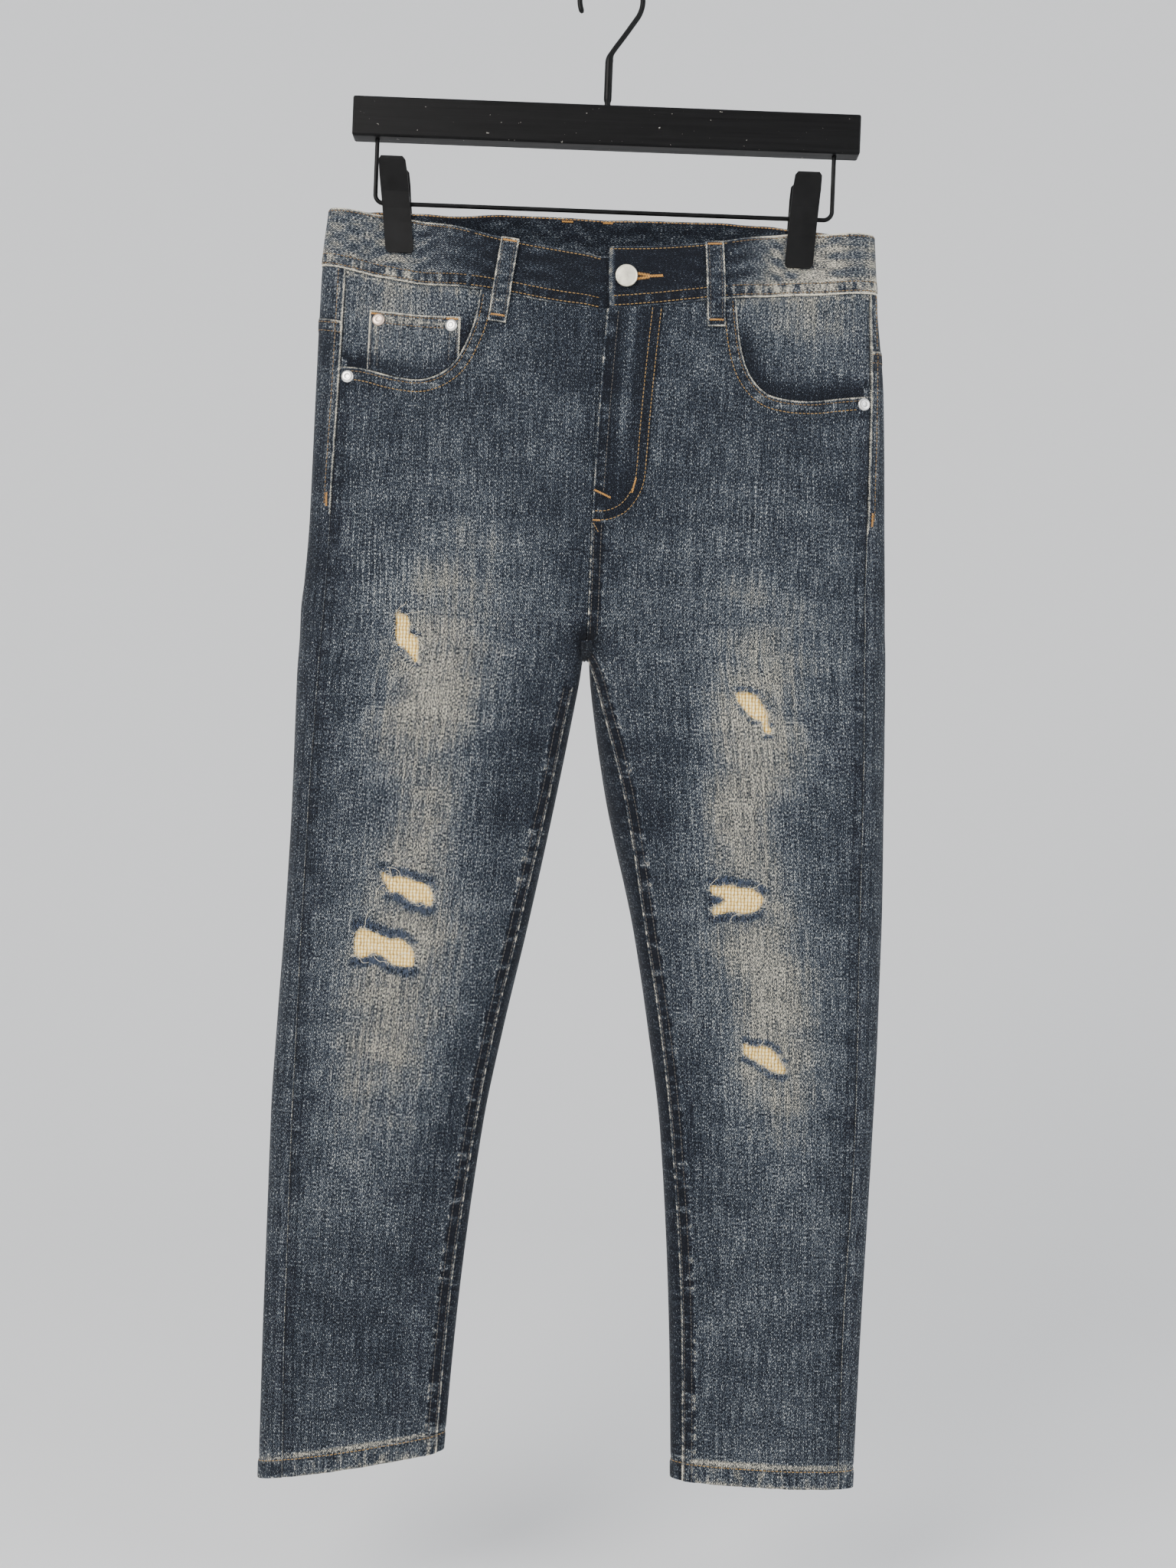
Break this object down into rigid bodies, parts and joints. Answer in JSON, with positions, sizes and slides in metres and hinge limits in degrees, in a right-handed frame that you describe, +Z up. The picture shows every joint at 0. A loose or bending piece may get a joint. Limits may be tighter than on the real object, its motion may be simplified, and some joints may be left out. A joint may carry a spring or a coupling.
{
  "type": "slim tapered ripped jeans on a clip hanger",
  "caption": "Slim tapered denim jeans with curved front pockets, a buttoned band and ripped, patched knees, hanging by the waistband from a wooden bar hanger with two clips.",
  "frame": {"origin": "inside top of the hanger's hook, where a rod or a wall hook holds it", "axes": "+Z up along the hanging jeans, -Y out of the front of the jeans, +X towards the wearer's left"},
  "size_m": [0.4532, 0.0693, 1.1459],
  "materials": {
    "denim": "washed and faded blue denim",
    "denim_back": "washed blue denim",
    "patch_cloth": "cream woven cotton",
    "nickel": "satin nickel",
    "copper": "satin copper",
    "black_wood": "satin black paint over wood grain",
    "black_metal": "semi-gloss black"
  },
  "bodies": {
    "root": {"back_leg_left": "denim_back", "back_leg_right": "denim_back", "belt_loop_back_left": "denim_back", "belt_loop_back_right": "denim_back", "belt_loop_front_left": "denim", "belt_loop_front_right": "denim", "button": "nickel", "clip_left_jaw_back": "black_metal", "clip_left_jaw_front": "black_metal", "clip_left_spring": "black_metal", "clip_rail": "black_metal", "clip_right_jaw_back": "black_metal", "clip_right_jaw_front": "black_metal", "clip_right_spring": "black_metal", "coin_pocket": "denim", "fly_placket": "denim", "front_leg_left": "denim", "front_leg_right": "denim", "hanger_bar": "black_wood", "hook": "black_metal", "patch_hip_left": "patch_cloth", "patch_hip_right": "patch_cloth", "patch_knee_left_lower": "patch_cloth", "patch_knee_left_upper": "patch_cloth", "patch_knee_right_lower": "patch_cloth", "patch_knee_right_upper": "patch_cloth", "pocket_facing_left": "denim", "pocket_facing_right": "denim", "rivet_coin_inner": "nickel", "rivet_coin_outer": "copper", "rivet_pocket_left": "nickel", "rivet_pocket_right": "nickel", "waistband": "denim", "yoke_left": "denim_back", "yoke_right": "denim_back"}
  },
  "joints": []
}
